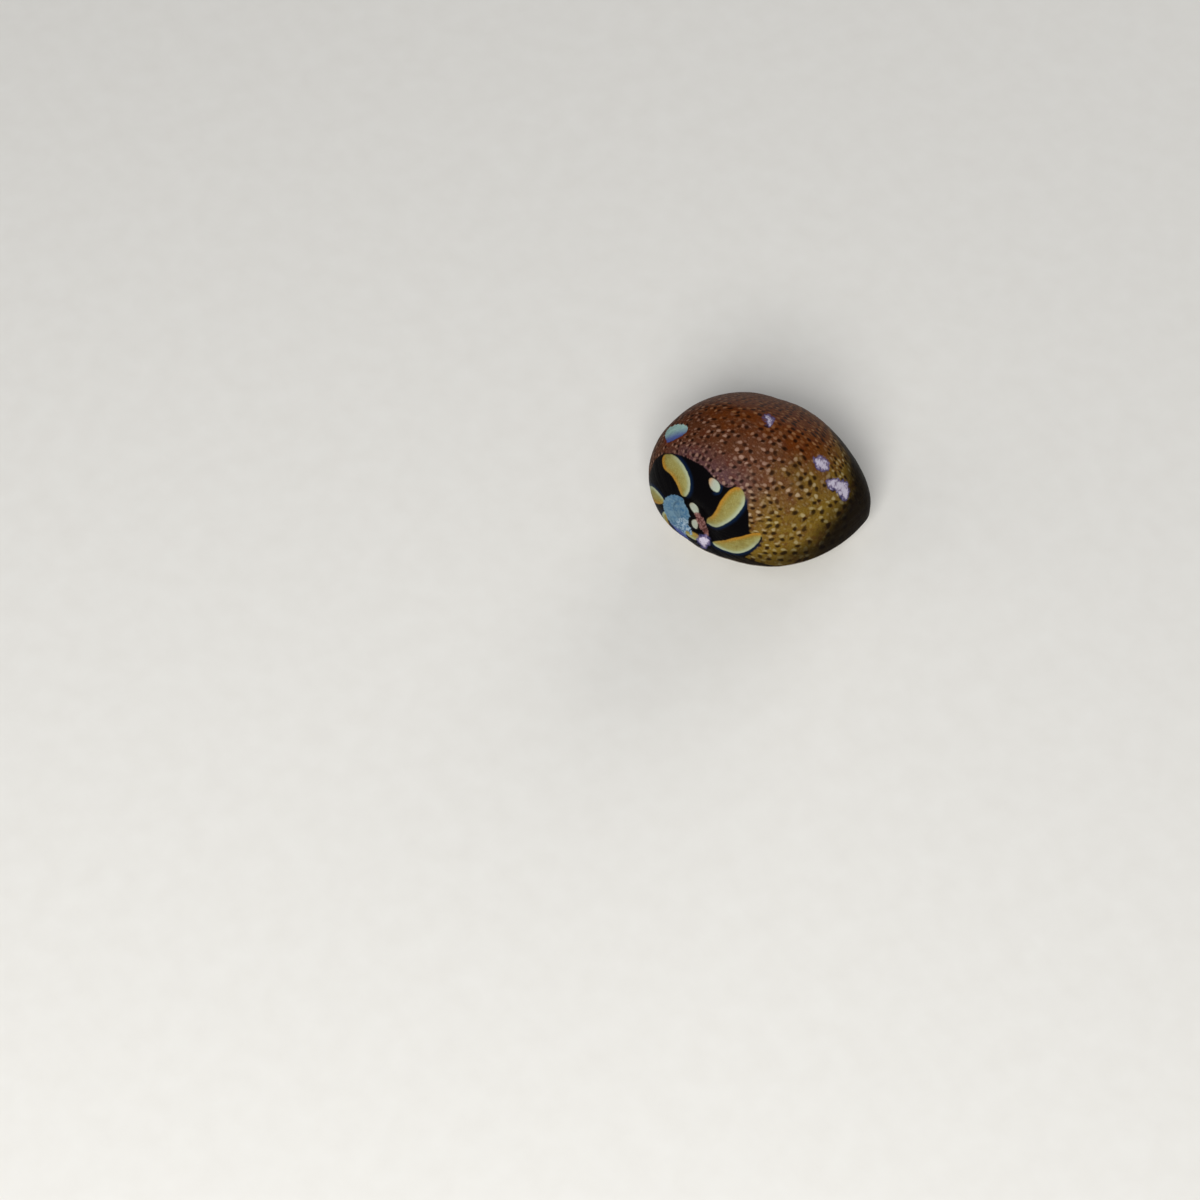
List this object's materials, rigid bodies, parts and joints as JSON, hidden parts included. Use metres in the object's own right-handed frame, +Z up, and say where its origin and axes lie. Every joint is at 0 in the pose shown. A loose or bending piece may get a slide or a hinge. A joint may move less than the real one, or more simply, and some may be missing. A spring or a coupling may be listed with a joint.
{
  "type": "nerite snail",
  "caption": "Still, life-size nerite snail with a dome-shaped spotted shell, worn low spire, flat foot, short head, feelers and stalked eyes.",
  "frame": {"origin": "on the floor, under the middle of the whole model", "axes": "+Z up; the head points along -Y; the animal's right side is -X; the shell's apex is at the back, right of the middle"},
  "size_m": [0.0178, 0.0206, 0.015],
  "materials": {
    "shell": "satin limy shell, red-brown with pale drops, black and yellow flames by the spire",
    "mantle": "moist dark grey skin",
    "flesh": "moist grey-cream skin with fine dark streaks",
    "operculum": "smooth limy lid with fine curved lines",
    "eye": "glossy black"
  },
  "bodies": {
    "root": {"shell": "shell", "mantle": "mantle", "foot": "flesh", "head": "flesh", "tentacle_left": "flesh", "tentacle_right": "flesh", "eye_stalk_left": "flesh", "eye_stalk_right": "flesh", "eye_left": "eye", "eye_right": "eye", "operculum": "operculum"}
  },
  "joints": []
}
